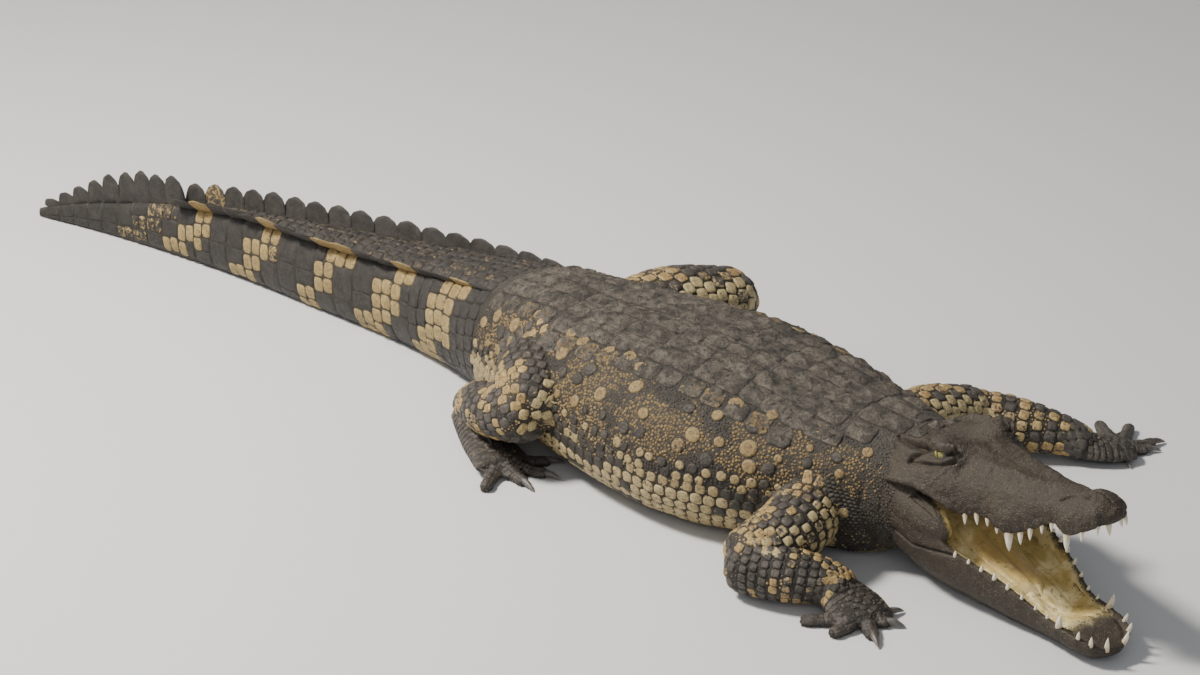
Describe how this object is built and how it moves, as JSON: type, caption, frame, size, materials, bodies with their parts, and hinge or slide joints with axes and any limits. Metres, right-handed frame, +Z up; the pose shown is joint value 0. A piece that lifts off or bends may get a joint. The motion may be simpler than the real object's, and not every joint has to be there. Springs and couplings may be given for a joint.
{
  "type": "saltwater crocodile figure",
  "caption": "Life-size crocodile lying on its belly with legs spread and jaws open: armoured back, banded tail with a saw-tooth crest, golden-scaled flanks and pale belly.",
  "frame": {"origin": "on the ground, under the middle of the figure's bounding box", "axes": "+X towards the snout, along the body; +Z up; the animal's left is +Y"},
  "size_m": [2.4594, 0.8728, 0.2473],
  "materials": {
    "back_skin": "dry rough horn-covered skin, grey-brown to charcoal",
    "neck_skin": "dry skin with small rounded scales, grey-brown",
    "head_skin": "dry fine-cracked skin tight on the bone, grey-brown speckled",
    "tail_skin": "horny plates in rings, charcoal with broken pale yellow bands",
    "limb_skin": "keeled scales, charcoal with golden scales",
    "mouth": "moist smooth lining, golden yellow",
    "claw": "polished horn, slate grey",
    "eye": "wet, olive yellow with a slit pupil"
  },
  "bodies": {
    "root": {"head": "head_skin", "left_claw_foot_1": "claw", "left_claw_foot_2": "claw", "left_claw_foot_3": "claw", "left_claw_hand_1": "claw", "left_claw_hand_2": "claw", "left_claw_hand_3": "claw", "left_eye": "eye", "left_foot": "limb_skin", "left_forearm": "limb_skin", "left_hand": "limb_skin", "left_shank": "limb_skin", "left_thigh": "limb_skin", "left_upper_arm": "limb_skin", "lower_jaw": "head_skin", "neck": "neck_skin", "right_claw_foot_1": "claw", "right_claw_foot_2": "claw", "right_claw_foot_3": "claw", "right_claw_hand_1": "claw", "right_claw_hand_2": "claw", "right_claw_hand_3": "claw", "right_eye": "eye", "right_foot": "limb_skin", "right_forearm": "limb_skin", "right_hand": "limb_skin", "right_shank": "limb_skin", "right_thigh": "limb_skin", "right_upper_arm": "limb_skin", "tail_base": "tail_skin", "tail_end": "tail_skin", "tail_middle": "tail_skin", "tongue": "mouth", "trunk": "back_skin"}
  },
  "joints": []
}
